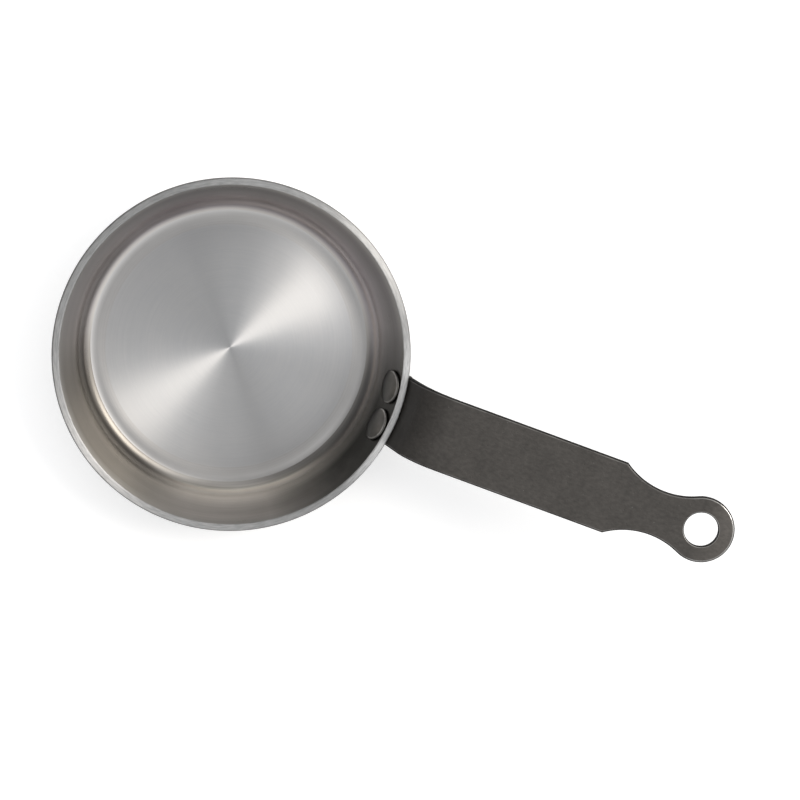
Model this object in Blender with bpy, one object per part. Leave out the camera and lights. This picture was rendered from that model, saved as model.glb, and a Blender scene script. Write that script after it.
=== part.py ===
"""Blini pan: a small carbon-steel pan whose strip-steel handle is held by two rivets.

The pan stands on its flat base, with the origin at the centre of the underside, +Z up and
the handle along +X. Lengths are in metres and angles in radians.

The wall leans outwards, so the pan's outside is a cone, and its rim is cut level. The handle
is cut as a flat blank and then formed: its flange is wrapped round that cone and riveted to
it, and above the rim it bends over into a flat grip that ends in a hanging ring.
"""
import math

import bmesh
import bpy
from mathutils import Matrix, Vector

# Pan sheet and bowl
SHEET_THICKNESS = 0.0025
RIM_DIAMETER = 0.120
INNER_DEPTH = 0.022
WALL_FLARE = math.radians(17.5)
FLOOR_FILLET = 0.006
RIM_EDGE_ROUND = 0.0006

# Handle strip and its waisted hanging ring
STRIP_WIDTH = 0.025
STRIP_THICKNESS = 0.0025
STRIP_EDGE_ROUND = 0.0008
FLANGE_CORNER_RADIUS = 0.005
NECK_WIDTH = 0.0154
NECK_RADIUS = 0.0255
RING_DIAMETER = 0.0222
HOLE_DIAMETER = 0.0114
HOLE_EDGE_ROUND = 0.0005

# Rivets: a low domed head inside the pan and a closed tail outside the flange
RIVET_SHANK_DIAMETER = 0.006
RIVET_HEAD_DIAMETER = 0.0116
RIVET_HEAD_HEIGHT = 0.0016
RIVET_HEAD_EDGE = 0.0005
RIVET_TAIL_DIAMETER = 0.0096
RIVET_TAIL_HEIGHT = 0.0022
RIVET_TAIL_EDGE = 0.0008
RIVET_EDGE_ROUND = 0.0002
HEAD_TO_HEAD_GAP = 0.0022
HEAD_TO_RIM_GAP = 0.0005

# Handle shape: the flange's line and the grip's line meet at the bend's corner
FLANGE_PAST_TAIL = 0.0035
BEND_CORNER_ABOVE_RIM = 0.01636
BEND_RADIUS = 0.015
GRIP_RISE = math.radians(12.8)
BEND_CORNER_TO_HOLE = 0.09895
WRAP_PAST_RIM = 0.003

# Gap between pieces that touch, and the drill's length as a multiple of what it goes through
FIT_CLEARANCE = 0.0003
DRILL_LENGTH_PER_WALL = 4

# Facet counts
BOWL_FACETS = 120
RIVET_FACETS = 32
FILLET_FACETS = 6
EDGE_FACETS = 3
DOME_FACETS = 5
CORNER_FACETS = 6
NECK_FACETS = 12
RING_FACETS = 22
HOLE_FACETS = 20
FLANGE_FACETS = 4
BEND_FACETS = 16
WIDTH_FACETS = 8

# Closer than any real detail: points this near each other are the same point
MERGE_DISTANCE = 1e-6
SHARP_ANGLE = math.radians(35)

# The wall's slope and the level rim's two edges, as (distance from the axis, height)
SLOPE_UP = Vector((math.sin(WALL_FLARE), math.cos(WALL_FLARE)))
SLOPE_OUT = Vector((math.cos(WALL_FLARE), -math.sin(WALL_FLARE)))
RIM_INNER = Vector((RIM_DIAMETER / 2 - SHEET_THICKNESS / SLOPE_OUT.x, SHEET_THICKNESS + INNER_DEPTH))
RIM_OUTER = Vector((RIM_DIAMETER / 2, RIM_INNER.y))

# The handle is measured from here: square across the wall from the rim's inner edge
RIM_ACROSS_WALL = RIM_INNER + SHEET_THICKNESS * SLOPE_OUT

# Where each rivet crosses the bowl's inner face, and how far each leans from the handle's middle
RIVET_BELOW_RIM = RIVET_HEAD_DIAMETER / 2 + HEAD_TO_RIM_GAP
RIVET_PLACE = RIM_INNER - RIVET_BELOW_RIM * SLOPE_UP
RIVET_AZIMUTH = math.asin((RIVET_HEAD_DIAMETER + HEAD_TO_HEAD_GAP) / 2 / RIVET_PLACE.x)

# The handle's path along its upper face, as lengths from the flange's lower end
FLANGE_BELOW_RIM = RIVET_BELOW_RIM + RIVET_TAIL_DIAMETER / 2 + FLANGE_PAST_TAIL
FLANGE_FOOT = RIM_ACROSS_WALL + FIT_CLEARANCE * SLOPE_OUT - FLANGE_BELOW_RIM * SLOPE_UP
BEND_ANGLE = math.pi / 2 - WALL_FLARE - GRIP_RISE
BEND_TANGENT = BEND_RADIUS * math.tan(BEND_ANGLE / 2)
BEND_START = FLANGE_BELOW_RIM + BEND_CORNER_ABOVE_RIM - BEND_TANGENT
BEND_END = BEND_START + BEND_RADIUS * BEND_ANGLE
HOLE_STATION = BEND_END + BEND_CORNER_TO_HOLE - BEND_TANGENT


def remove_objects():
    for item in list(bpy.data.objects):
        bpy.data.objects.remove(item, do_unlink=True)


def steel(name, colour, roughness, metallic):
    """A Principled material of one plain colour."""
    material = bpy.data.materials.new(name)
    material.use_nodes = True
    shader = material.node_tree.nodes["Principled BSDF"]
    shader.inputs["Base Color"].default_value = (*colour, 1)
    shader.inputs["Roughness"].default_value = roughness
    shader.inputs["Metallic"].default_value = metallic
    return material


def arc(centre, radius, start, end, facets):
    """Points on an arc about centre, from the angle start to the angle end."""
    points = []
    for step in range(facets + 1):
        angle = start + (end - start) * step / facets
        points.append(centre + radius * Vector((math.cos(angle), math.sin(angle))))
    return points


def rounded_corner(before, corner, after, radius, facets):
    """The arc that rounds off the corner between the lines to two neighbouring points."""
    back = (before - corner).normalized()
    ahead = (after - corner).normalized()
    half_angle = back.angle(ahead) / 2
    centre = corner + (back + ahead).normalized() * radius / math.sin(half_angle)
    touch = corner + back * radius / math.tan(half_angle)
    start = math.atan2(touch.y - centre.y, touch.x - centre.x)
    turn = math.pi - 2 * half_angle
    if back.cross(ahead) > 0:
        turn = -turn
    return arc(centre, radius, start, start + turn, facets)


def turned(profile, facets):
    """A closed body turned round Z from a profile that starts and ends on the axis."""
    body = bmesh.new()
    points = [body.verts.new((point.x, 0, point.y)) for point in profile]
    edges = [body.edges.new(pair) for pair in zip(points, points[1:])]
    bmesh.ops.spin(
        body, geom=points + edges, axis=(0, 0, 1), cent=(0, 0, 0), angle=2 * math.pi, steps=facets,
    )
    bmesh.ops.remove_doubles(body, verts=body.verts[:], dist=MERGE_DISTANCE)
    bmesh.ops.recalc_face_normals(body, faces=body.faces[:])
    return body


def make_object(name, body, material):
    """Turn a finished bmesh into a named object, smooth except at its sharp edges."""
    mesh = bpy.data.meshes.new(name)
    body.to_mesh(mesh)
    body.free()
    mesh.shade_smooth()
    mesh.set_sharp_from_angle(angle=SHARP_ANGLE)
    mesh.materials.append(material)
    item = bpy.data.objects.new(name, mesh)
    bpy.context.collection.objects.link(item)
    return item


def bowl_profile():
    """Section of the bowl: along the floor, up the wall, over the rim and back underneath."""
    floor_centre = Vector((0, SHEET_THICKNESS))
    floor_corner = RIM_INNER - INNER_DEPTH / SLOPE_UP.y * SLOPE_UP
    base_corner = RIM_OUTER - RIM_OUTER.y / SLOPE_UP.y * SLOPE_UP
    base_centre = Vector((0, 0))
    base_fillet = FLOOR_FILLET + SHEET_THICKNESS
    return [
        floor_centre,
        *rounded_corner(floor_centre, floor_corner, RIM_INNER, FLOOR_FILLET, FILLET_FACETS),
        *rounded_corner(floor_corner, RIM_INNER, RIM_OUTER, RIM_EDGE_ROUND, EDGE_FACETS),
        *rounded_corner(RIM_INNER, RIM_OUTER, base_corner, RIM_EDGE_ROUND, EDGE_FACETS),
        *rounded_corner(RIM_OUTER, base_corner, base_centre, base_fillet, FILLET_FACETS),
        base_centre,
    ]


def blank_half_outline():
    """One half of the flat blank, as (station along the strip, distance from its middle)."""
    foot = Vector((0, 0))
    foot_corner = Vector((0, STRIP_WIDTH / 2))
    ring_centre = Vector((HOLE_STATION, 0))
    neck_offset = NECK_WIDTH / 2 + NECK_RADIUS
    neck_reach = math.sqrt((RING_DIAMETER / 2 + NECK_RADIUS) ** 2 - neck_offset ** 2)
    neck_centre = Vector((HOLE_STATION - neck_reach, neck_offset))
    shoulder_angle = -math.pi + math.asin((neck_offset - STRIP_WIDTH / 2) / NECK_RADIUS)
    join_angle = math.atan2(-neck_offset, neck_reach)
    neck = arc(neck_centre, NECK_RADIUS, shoulder_angle, join_angle, NECK_FACETS)
    ring = arc(ring_centre, RING_DIAMETER / 2, join_angle + math.pi, 0, RING_FACETS)
    hole = arc(ring_centre, HOLE_DIAMETER / 2, 0, math.pi, HOLE_FACETS)
    return [
        foot,
        *rounded_corner(foot, foot_corner, neck[0], FLANGE_CORNER_RADIUS, CORNER_FACETS),
        *neck,
        *ring[1:],
        *hole,
    ]


def flat_blank():
    """The blank as cut from the strip: upper face at z = 0, all edges rounded."""
    blank = bmesh.new()
    outline = blank_half_outline()
    for side in (1, -1):
        blank.faces.new([blank.verts.new((point.x, side * point.y, 0)) for point in outline])
    bmesh.ops.remove_doubles(blank, verts=blank.verts[:], dist=MERGE_DISTANCE)
    bmesh.ops.recalc_face_normals(blank, faces=blank.faces[:])
    bmesh.ops.solidify(blank, geom=blank.faces[:], thickness=STRIP_THICKNESS)
    upper_face = max(vert.co.z for vert in blank.verts)
    bmesh.ops.translate(blank, verts=blank.verts[:], vec=(0, 0, -upper_face))

    hole_edges = []
    outer_edges = []
    ring_middle = (HOLE_DIAMETER + RING_DIAMETER) / 4
    for edge in blank.edges:
        one, other = edge.verts
        walls = [face for face in edge.link_faces if abs(face.normal.z) < MERGE_DISTANCE]
        if abs(one.co.z - other.co.z) > MERGE_DISTANCE or len(walls) != 1:
            continue
        from_hole = math.hypot(one.co.x - HOLE_STATION, one.co.y)
        (hole_edges if from_hole < ring_middle else outer_edges).append(edge)
    for edges, radius in ((outer_edges, STRIP_EDGE_ROUND), (hole_edges, HOLE_EDGE_ROUND)):
        bmesh.ops.bevel(
            blank, geom=edges, offset=radius, offset_type="OFFSET", segments=EDGE_FACETS,
            profile=0.5, affect="EDGES", clamp_overlap=False,
        )
    return blank


def cut_for_forming(blank):
    """Cut the blank across where it will bend, and along where it will wrap the bowl."""
    bent_length = BEND_END - FLANGE_BELOW_RIM
    flange_cuts = [FLANGE_BELOW_RIM * step / FLANGE_FACETS for step in range(1, FLANGE_FACETS)]
    bend_cuts = [FLANGE_BELOW_RIM + bent_length * step / BEND_FACETS for step in range(BEND_FACETS + 1)]
    for station in flange_cuts + bend_cuts:
        bmesh.ops.bisect_plane(
            blank, geom=[*blank.verts, *blank.edges, *blank.faces],
            plane_co=(station, 0, 0), plane_no=(1, 0, 0),
        )
    for step in range(1, WIDTH_FACETS):
        offset = STRIP_WIDTH * (step / WIDTH_FACETS - 0.5)
        verts = [vert for vert in blank.verts if vert.co.x < BEND_END + MERGE_DISTANCE]
        bent = set(verts)
        edges = [edge for edge in blank.edges if bent.issuperset(edge.verts)]
        faces = [face for face in blank.faces if bent.issuperset(face.verts)]
        bmesh.ops.bisect_plane(
            blank, geom=verts + edges + faces, plane_co=(0, offset, 0), plane_no=(0, 1, 0),
        )


def path_at(station):
    """Place and direction of the handle's upper face at a station, in the plane y = 0."""
    if station < BEND_START:
        return FLANGE_FOOT + station * SLOPE_UP, SLOPE_UP
    bend_foot = FLANGE_FOOT + BEND_START * SLOPE_UP
    turn = min((station - BEND_START) / BEND_RADIUS, BEND_ANGLE)
    heading = math.pi / 2 - WALL_FLARE - turn
    along = Vector((math.cos(heading), math.sin(heading)))
    out = Vector((along.y, -along.x))
    place = bend_foot + BEND_RADIUS * (SLOPE_OUT - out)
    return place + max(station - BEND_END, 0) * along, along


def wrap_share(station):
    """How much of the bowl's curve the strip has: all along the wall, none in the grip."""
    fade_start = FLANGE_BELOW_RIM + WRAP_PAST_RIM
    fade = (station - fade_start) / (BEND_END - fade_start)
    fade = min(max(fade, 0), 1)
    return 1 - fade * fade * (3 - 2 * fade)


def formed(point):
    """Where a point of the flat blank ends up in the finished handle.

    The middle of the strip's thickness keeps its width while the strip is wrapped.
    """
    place, along = path_at(point.x)
    deeper = Vector((along.y, -along.x)) * -point.z
    wrap = wrap_share(point.x)
    if wrap == 0:
        return Vector((place.x + deeper.x, point.y, place.y + deeper.y))
    radius = place.x / wrap
    angle = point.y / (radius + along.y * STRIP_THICKNESS / 2)
    reach = radius + deeper.x
    x = place.x - radius + reach * math.cos(angle)
    return Vector((x, reach * math.sin(angle), place.y + deeper.y))


def rivet_frame(side):
    """Frame of a rivet: origin on the bowl's inner face, +Z into the bowl, +X up the wall."""
    axis = Vector((-SLOPE_OUT.x, 0, -SLOPE_OUT.y))
    up = Vector((SLOPE_UP.x, 0, SLOPE_UP.y))
    frame = Matrix((up, axis.cross(up), axis)).transposed().to_4x4()
    frame.translation = (RIVET_PLACE.x, 0, RIVET_PLACE.y)
    return Matrix.Rotation(side * RIVET_AZIMUTH, 4, "Z") @ frame


def rivet_end(diameter, height, edge):
    """Section of one end of a rivet above its seat: over the dome, round the edge, to the shank."""
    radius = diameter / 2
    rise = height - edge
    sphere = (radius * radius + rise * rise) / (2 * rise)
    cap = arc(Vector((0, height - sphere)), sphere, math.pi / 2, math.acos(radius / sphere), DOME_FACETS)
    seat_edge = Vector((radius, 0))
    shank = Vector((RIVET_SHANK_DIAMETER / 2, 0))
    return [*cap, *rounded_corner(cap[-1], seat_edge, shank, RIVET_EDGE_ROUND, EDGE_FACETS), shank]


def rivet_profile():
    """Section of a closed rivet: head, shank through wall and flange, and tail."""
    grip = SHEET_THICKNESS + STRIP_THICKNESS + 2 * FIT_CLEARANCE
    head = rivet_end(RIVET_HEAD_DIAMETER, RIVET_HEAD_HEIGHT, RIVET_HEAD_EDGE)
    tail = rivet_end(RIVET_TAIL_DIAMETER, RIVET_TAIL_HEIGHT, RIVET_TAIL_EDGE)
    head_points = [Vector((point.x, FIT_CLEARANCE + point.y)) for point in head]
    tail_points = [Vector((point.x, -grip - point.y)) for point in reversed(tail)]
    return head_points + tail_points


def seated(point):
    """Curve a point of the rivet round the wall, so that both its ends sit flush on it."""
    wall_radius = RIVET_PLACE.x / SLOPE_OUT.x
    reach = wall_radius - point.z
    angle = point.y / reach
    return Vector((point.x, reach * math.sin(angle), wall_radius - reach * math.cos(angle)))


def make_rivet(name, side, material):
    body = turned(rivet_profile(), RIVET_FACETS)
    for vert in body.verts:
        vert.co = seated(vert.co)
    rivet = make_object(name, body, material)
    rivet.matrix_world = rivet_frame(side)
    return rivet


def make_rivet_drill(side, material):
    """The drill that makes one rivet's hole through both the wall and the flange."""
    radius = RIVET_SHANK_DIAMETER / 2 + FIT_CLEARANCE
    length = DRILL_LENGTH_PER_WALL * (SHEET_THICKNESS + STRIP_THICKNESS)
    drill = bmesh.new()
    bmesh.ops.create_cone(
        drill, cap_ends=True, segments=RIVET_FACETS, radius1=radius, radius2=radius, depth=length,
    )
    tool = make_object("rivet_drill", drill, material)
    tool.matrix_world = rivet_frame(side)
    tool.display_type = "WIRE"
    tool.hide_render = True
    return tool


def drill_through(item, drills):
    for drill in drills:
        cut = item.modifiers.new("rivet_hole", "BOOLEAN")
        cut.operation = "DIFFERENCE"
        cut.solver = "EXACT"
        cut.object = drill


def make_bowl(material):
    return make_object("pan_body", turned(bowl_profile(), BOWL_FACETS), material)


def make_handle(material):
    strip = flat_blank()
    cut_for_forming(strip)
    bmesh.ops.triangulate(strip, faces=strip.faces[:])
    for vert in strip.verts:
        vert.co = formed(vert.co)
    bmesh.ops.recalc_face_normals(strip, faces=strip.faces[:])
    return make_object("handle", strip, material)


def main():
    remove_objects()
    pan_steel = steel("pan_steel", (0.50, 0.49, 0.47), roughness=0.38, metallic=1.0)
    handle_coat = steel("handle_coat", (0.075, 0.068, 0.060), roughness=0.50, metallic=0.4)
    rivet_steel = steel("rivet_steel", (0.13, 0.125, 0.12), roughness=0.42, metallic=0.9)

    drills = [make_rivet_drill(side, pan_steel) for side in (1, -1)]
    drill_through(make_bowl(pan_steel), drills)
    drill_through(make_handle(handle_coat), drills)
    make_rivet("rivet_left", -1, rivet_steel)
    make_rivet("rivet_right", 1, rivet_steel)


main()
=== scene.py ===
# %% [markdown]
# # A blini pan, dressed for its picture
#
# A blini pan is a small pan of carbon steel. Its bowl is pressed from one disc of sheet, and its
# handle is one strip of steel that is riveted to the wall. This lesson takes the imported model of
# such a pan as a fixed frame and makes each of its pieces again with finer shapes and with the
# finish of the real steel. All lengths are in metres, +Z is up, and the pan stands on z = 0 with
# its handle along +X.

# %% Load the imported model
import math

import bmesh
import bpy
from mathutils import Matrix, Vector


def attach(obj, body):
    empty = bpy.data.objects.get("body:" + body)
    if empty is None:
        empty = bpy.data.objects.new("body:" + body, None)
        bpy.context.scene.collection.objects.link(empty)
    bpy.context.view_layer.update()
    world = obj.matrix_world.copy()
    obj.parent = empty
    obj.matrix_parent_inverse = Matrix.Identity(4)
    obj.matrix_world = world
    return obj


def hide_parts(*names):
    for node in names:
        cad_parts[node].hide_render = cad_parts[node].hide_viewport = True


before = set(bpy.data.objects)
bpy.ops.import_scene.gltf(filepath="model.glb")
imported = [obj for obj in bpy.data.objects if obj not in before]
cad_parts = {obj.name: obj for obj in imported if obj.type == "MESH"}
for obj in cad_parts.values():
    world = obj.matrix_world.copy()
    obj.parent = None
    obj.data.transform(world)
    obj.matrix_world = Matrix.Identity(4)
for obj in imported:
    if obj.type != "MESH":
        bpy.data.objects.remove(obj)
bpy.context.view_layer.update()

print("CAD nodes:", sorted(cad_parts))

# %% [markdown]
# ## The camera
#
# The picture looks down into the bowl from a little to one side, with the handle running off to
# the lower right. The place and the three turns of the camera were found by fitting the pan's
# rim, floor, rivets and ring to their outlines in the photograph.

# %% Camera
CAMERA_PLACE = (-0.0648, 0.0799, 0.6108)
CAMERA_TURN = (-10.818, -8.659, 20.173)
CAMERA_LENS = 79.97

camera = bpy.data.objects.new("camera", bpy.data.cameras.new("camera"))
bpy.context.scene.collection.objects.link(camera)
camera.location = CAMERA_PLACE
camera.rotation_euler = [math.radians(angle) for angle in CAMERA_TURN]
camera.data.lens = CAMERA_LENS
bpy.context.scene.camera = camera
print("camera", round(camera.location.length, 3), "m from the middle of the pan's base")

# %% [markdown]
# ## Small helpers for node trees
#
# Materials and Geometry Nodes are both trees of nodes. A few short helpers keep the recipes below
# readable: they feed a socket, add a node, do a sum, carry a value from one range to another, and
# take a vector apart or put one together. A value that is given to them may be a plain number or
# the output of another node.

# %% Node helpers
def feed(tree, value, socket):
    """Link a socket to another node's output, or set it to a plain value."""
    if isinstance(value, bpy.types.NodeSocket):
        tree.links.new(value, socket)
    else:
        socket.default_value = value


def add(tree, kind, inputs=None, **settings):
    """Add a node, choose its settings, and fill its inputs by name or by number."""
    node = tree.nodes.new(kind)
    for name, value in settings.items():
        setattr(node, name, value)
    for key, value in (inputs or {}).items():
        feed(tree, value, node.inputs[key])
    return node


def calc(tree, operation, *values):
    """One sum: a Math node on the given values."""
    return add(tree, "ShaderNodeMath", dict(enumerate(values)), operation=operation).outputs[0]


def times(tree, product, *values):
    """Several values multiplied together."""
    for value in values:
        product = calc(tree, "MULTIPLY", product, value)
    return product


def plus(tree, total, *values):
    """Several values added together."""
    for value in values:
        total = calc(tree, "ADD", total, value)
    return total


def minus(tree, first, second):
    return calc(tree, "SUBTRACT", first, second)


def from_to(tree, value, low, high, to_low, to_high, smooth=False):
    """Carry a value from one range to another, and stop it at the ends."""
    inputs = {"Value": value, "From Min": low, "From Max": high, "To Min": to_low, "To Max": to_high}
    style = "SMOOTHSTEP" if smooth else "LINEAR"
    return add(tree, "ShaderNodeMapRange", inputs, interpolation_type=style).outputs["Result"]


def band(tree, value, rise, fall):
    """0, then up to 1 over the first range, then down to 0 again over the second."""
    return times(tree, from_to(tree, value, *rise, 0.0, 1.0), from_to(tree, value, *fall, 1.0, 0.0))


def xyz_of(tree, vector):
    """The X, Y and Z of a vector."""
    return add(tree, "ShaderNodeSeparateXYZ", {0: vector}).outputs


def xyz(tree, x=0.0, y=0.0, z=0.0):
    """A vector from its X, Y and Z."""
    return add(tree, "ShaderNodeCombineXYZ", {"X": x, "Y": y, "Z": z}).outputs[0]


def dot(tree, one, other):
    """How well two directions agree: 1 for the same one, 0 for two that are square."""
    return add(tree, "ShaderNodeVectorMath", {0: one, 1: other}, operation="DOT_PRODUCT").outputs["Value"]


# %% [markdown]
# ## Where a finish is on the piece
#
# A finish that was made on a lathe runs in rings. The pan's axis is the Z axis, so the distance
# from it gives the ring. A pattern needs a second coordinate that runs round the ring and meets
# itself without a seam, and a direction on the circle does that: its X and Y come back to where
# they began after one turn.

# %% Ring coordinates
def object_place(tree):
    return add(tree, "ShaderNodeTexCoord").outputs["Object"]


def from_z_axis(tree, place):
    """How far a point is from the Z axis, and the level vector out to it."""
    level = xyz(tree, place["X"], place["Y"])
    return add(tree, "ShaderNodeVectorMath", {0: level}, operation="LENGTH").outputs["Value"], level


def radius_and_height(tree):
    """Distance from the pan's axis, height and outward direction of the point that is shaded."""
    place = xyz_of(tree, object_place(tree))
    radius, level = from_z_axis(tree, place)
    outward = add(tree, "ShaderNodeVectorMath", {0: level}, operation="NORMALIZE").outputs[0]
    return radius, place["Z"], outward


def cloudy(tree, place, scale, detail=2.0, roughness=0.5):
    """Soft patches of the given number to the metre."""
    inputs = {"Vector": place, "Scale": scale, "Detail": detail, "Roughness": roughness}
    return add(tree, "ShaderNodeTexNoise", inputs).outputs["Fac"]


def ring_pattern(tree, across, rings_per_metre, changes_round, detail):
    """Noise in rings: fine across them, slow along them."""
    turn = xyz_of(tree, radius_and_height(tree)[2])
    place = xyz(
        tree, times(tree, across, rings_per_metre), times(tree, turn["X"], changes_round),
        times(tree, turn["Y"], changes_round),
    )
    return cloudy(tree, place, 1.0, detail)


# %% [markdown]
# A finish also needs its colours: two of them mixed by a pattern, one made darker or lighter,
# and one that changes on a single side of the pan only. They all work from the place on the
# piece, so nothing has to be unwrapped, and they stay sharp close up.

# %% Colours and materials
def two_colours(tree, share, first, second, blend="MIX"):
    """From the first colour at share 0 to the second, or to both multiplied, at share 1."""
    first, second = [(*colour, 1) if isinstance(colour, tuple) else colour for colour in (first, second)]
    inputs = {"Factor": share, 6: first, 7: second}
    return add(tree, "ShaderNodeMix", inputs, data_type="RGBA", blend_type=blend).outputs[2]


def toned(tree, colour, level):
    """A colour made darker or lighter by a factor."""
    grey = add(tree, "ShaderNodeCombineColor", {0: level, 1: level, 2: level}).outputs[0]
    return two_colours(tree, 1.0, colour, grey, "MULTIPLY")


def direction(azimuth, elevation):
    """A unit vector from two angles in degrees."""
    turn, rise = math.radians(azimuth), math.radians(elevation)
    return Vector((math.cos(rise) * math.cos(turn), math.cos(rise) * math.sin(turn), math.sin(rise)))


def side_of_pan(tree, outward, azimuth, spread):
    """1 on the side of the pan that has this azimuth in degrees, fading to 0 a spread away from it."""
    facing = dot(tree, outward, direction(azimuth, 0.0))
    return from_to(tree, facing, math.cos(math.radians(spread)), 1.0, 0.0, 1.0, smooth=True)


def bumps(tree, height, depth):
    """A normal for a surface whose highest places stand depth metres above its lowest."""
    return add(tree, "ShaderNodeBump", {"Height": height, "Distance": depth}).outputs["Normal"]


def new_material(name, **values):
    """A material whose shader has these plain values, with its tree and its shader."""
    material = bpy.data.materials.new(name)
    material.use_nodes = True
    shader = material.node_tree.nodes["Principled BSDF"]
    for label, value in values.items():
        shader.inputs[label.replace("_", " ")].default_value = value
    return material, material.node_tree, shader


def finish_with(tree, shader, **sockets):
    """Feed the shader's sockets by name."""
    for label, value in sockets.items():
        feed(tree, value, shader.inputs[label.replace("_", " ")])


# %% [markdown]
# ## Finish 1: the turned floor
#
# The floor of the bowl is brushed in circles. Each groove throws light sideways, across the
# groove, so a lamp shows as two bright fans on either side of the middle instead of as a spot.
# That can't be painted, because the fans move when the pan or the lamp moves. The shader's
# anisotropy makes them: the tangent points outward from the axis, and the highlight is drawn
# out along it.
#
# The grooves are noise with so many rings to the metre, so many changes round a turn, and a
# share in the pattern beside plain patches. Light and shade are painted into the steel's colour:
# a painted light on one side of the floor and of the rim, and painted light and shade on others.
# Each of these has an azimuth and a spread in degrees, the radii where it starts and where it is
# full, and its level. The rim's outer edge has a painted shade. The cut edge of the rim is turned
# as well.

# %% Turned steel
NOISE_MIDDLE = (0.35, 0.65)
GROOVE_DEPTH = 0.0000025
FLOOR_GROOVES = (2600.0, 1.6, 0.35)
RIM_GROOVES = (2200.0, 18.0, 0.85)
FLOOR_COLOURS = ((0.51, 0.51, 0.512), (0.575, 0.57, 0.565))
RIM_COLOURS = ((0.37, 0.366, 0.36), (0.54, 0.535, 0.525))
FLOOR_ROUGHNESS = (0.46, 0.50)
RIM_ROUGHNESS = (0.42, 0.50)
FLOOR_ANISOTROPY = 0.94
RIM_ANISOTROPY = 0.92
PAINTED_LIGHT_RADIUS = 0.038
# Painted light: the side it lies on, and how much lighter it makes the steel at the axis and at the radius
# above
FLOOR_PAINTED_LIGHT = ((0.0, 55.0), (0.06, 0.24))
RIM_PAINTED_LIGHT = ((-2.0, 32.0), (0.0, 0.8))
RIM_EDGE_PAINTED_SHADE = (0.0592, 0.0597)
# Painted light and shade: azimuth, spread, the radius where it starts, the radius where it is full, and
# its level
FLOOR_PAINTED_TONES = (
    (112.0, 28.0, 0.0450, 0.0410, 0.90),
    (-68.0, 28.0, 0.0450, 0.0410, 0.92),
    (48.0, 50.0, 0.0340, 0.0425, 1.09),
    (48.0, 50.0, 0.0425, 0.0450, 0.93),
    (15.0, 45.0, 0.0434, 0.0460, 0.86),
)


def turned_steel(name, colours, roughness, anisotropy, grooving, painted_side_light, painted_tones=()):
    """Bare steel with a lathe's grooves, painted light on one side, and painted light and shade on others.
    """
    material, tree, shader = new_material(name, Metallic=1.0, Anisotropic=anisotropy)
    radius, _, outward = radius_and_height(tree)
    rings_per_metre, changes_round, groove_share = grooving
    grooves = ring_pattern(tree, radius, rings_per_metre, changes_round, 5.0)
    patches = cloudy(tree, object_place(tree), 45.0, 4.0, 0.6)
    mixed = from_to(tree, groove_share, 0.0, 1.0, patches, grooves)
    colour = two_colours(tree, from_to(tree, mixed, *NOISE_MIDDLE, 0.0, 1.0), *colours)
    # Painted light on one side of the pan
    painted_light_side, painted_light_levels = painted_side_light
    amount = from_to(tree, radius, 0.0, PAINTED_LIGHT_RADIUS, *painted_light_levels)
    painted_light_share = times(tree, side_of_pan(tree, outward, *painted_light_side), amount)
    colour = toned(tree, colour, plus(tree, painted_light_share, 1.0))
    # Painted light and shade on some sides of the floor
    for azimuth, spread, start, full, level in painted_tones:
        within = from_to(tree, radius, start, full, 0.0, 1.0)
        share = times(tree, side_of_pan(tree, outward, azimuth, spread), within)
        colour = toned(tree, colour, from_to(tree, share, 0.0, 1.0, 1.0, level))
    # The rim's outer edge is painted dark as shade
    finish_with(
        tree, shader, Base_Color=toned(tree, colour, from_to(tree, radius, *RIM_EDGE_PAINTED_SHADE, 1.0, 0.35)),
        Roughness=from_to(tree, mixed, *NOISE_MIDDLE, *roughness),
        Normal=bumps(tree, grooves, GROOVE_DEPTH), Tangent=outward,
    )
    return material


floor_steel = turned_steel(
    "turned_floor_steel", FLOOR_COLOURS, FLOOR_ROUGHNESS, FLOOR_ANISOTROPY, FLOOR_GROOVES, FLOOR_PAINTED_LIGHT,
    FLOOR_PAINTED_TONES,
)
rim_steel = turned_steel(
    "turned_rim_steel", RIM_COLOURS, RIM_ROUGHNESS, RIM_ANISOTROPY, RIM_GROOVES, RIM_PAINTED_LIGHT,
)
print("turned finishes:", floor_steel.name, rim_steel.name)

# %% [markdown]
# The fans fade before they reach the wall, where the grooves give way to satin. Anisotropy is
# one plain number for a whole material, so five narrow rings of steel lead from the floor's
# finish to the wall's. Each has a radius where it starts, a grey, and its share of the way.

# %% Rings between floor and wall
SATIN_ROUGHNESS = (0.33, 0.38)
SATIN_ANISOTROPY = 0.35
RINGS = (
    (0.0425, 0.470, 0.10), (0.0434, 0.440, 0.25), (0.0442, 0.418, 0.45), (0.0449, 0.408, 0.68),
    (0.0455, 0.415, 0.90),
)
RING_NUMBERS = range(1, len(RINGS) + 1)


def between(first, second, share):
    return first + (second - first) * share


def floor_ring(number, grey, share):
    """Floor steel on its way to the satin: less drawn-out fans, a sharper sheen, a darker grey."""
    colours = [(value, value * 0.98, value * 0.96) for value in (grey, grey * 1.1)]
    roughness = [between(floor, satin, share) for floor, satin in zip(FLOOR_ROUGHNESS, SATIN_ROUGHNESS)]
    anisotropy = between(FLOOR_ANISOTROPY, SATIN_ANISOTROPY, share)
    name = f"floor_ring_steel_{number}"
    return turned_steel(name, colours, roughness, anisotropy, FLOOR_GROOVES, FLOOR_PAINTED_LIGHT, FLOOR_PAINTED_TONES)


ring_steels = [floor_ring(number, grey, share) for number, (_, grey, share) in zip(RING_NUMBERS, RINGS)]
print("ring finishes:", *[steel.name for steel in ring_steels])

# %% [markdown]
# ## Finish 2: the satin wall
#
# The wall was pressed and then cleaned, not turned. It is a warmer, darker grey than the floor,
# with faint lines round it and soft cloudy patches. The lines are noise in rings again, this
# time across the height, and the patches are plain noise.

# %% Satin steel
WALL_COLOURS = ((0.365, 0.345, 0.318), (0.475, 0.453, 0.427))
FINE_LINES = (2200.0, 2.0, 4.0)
WIDE_BANDS = (260.0, 1.1, 2.0)

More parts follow.
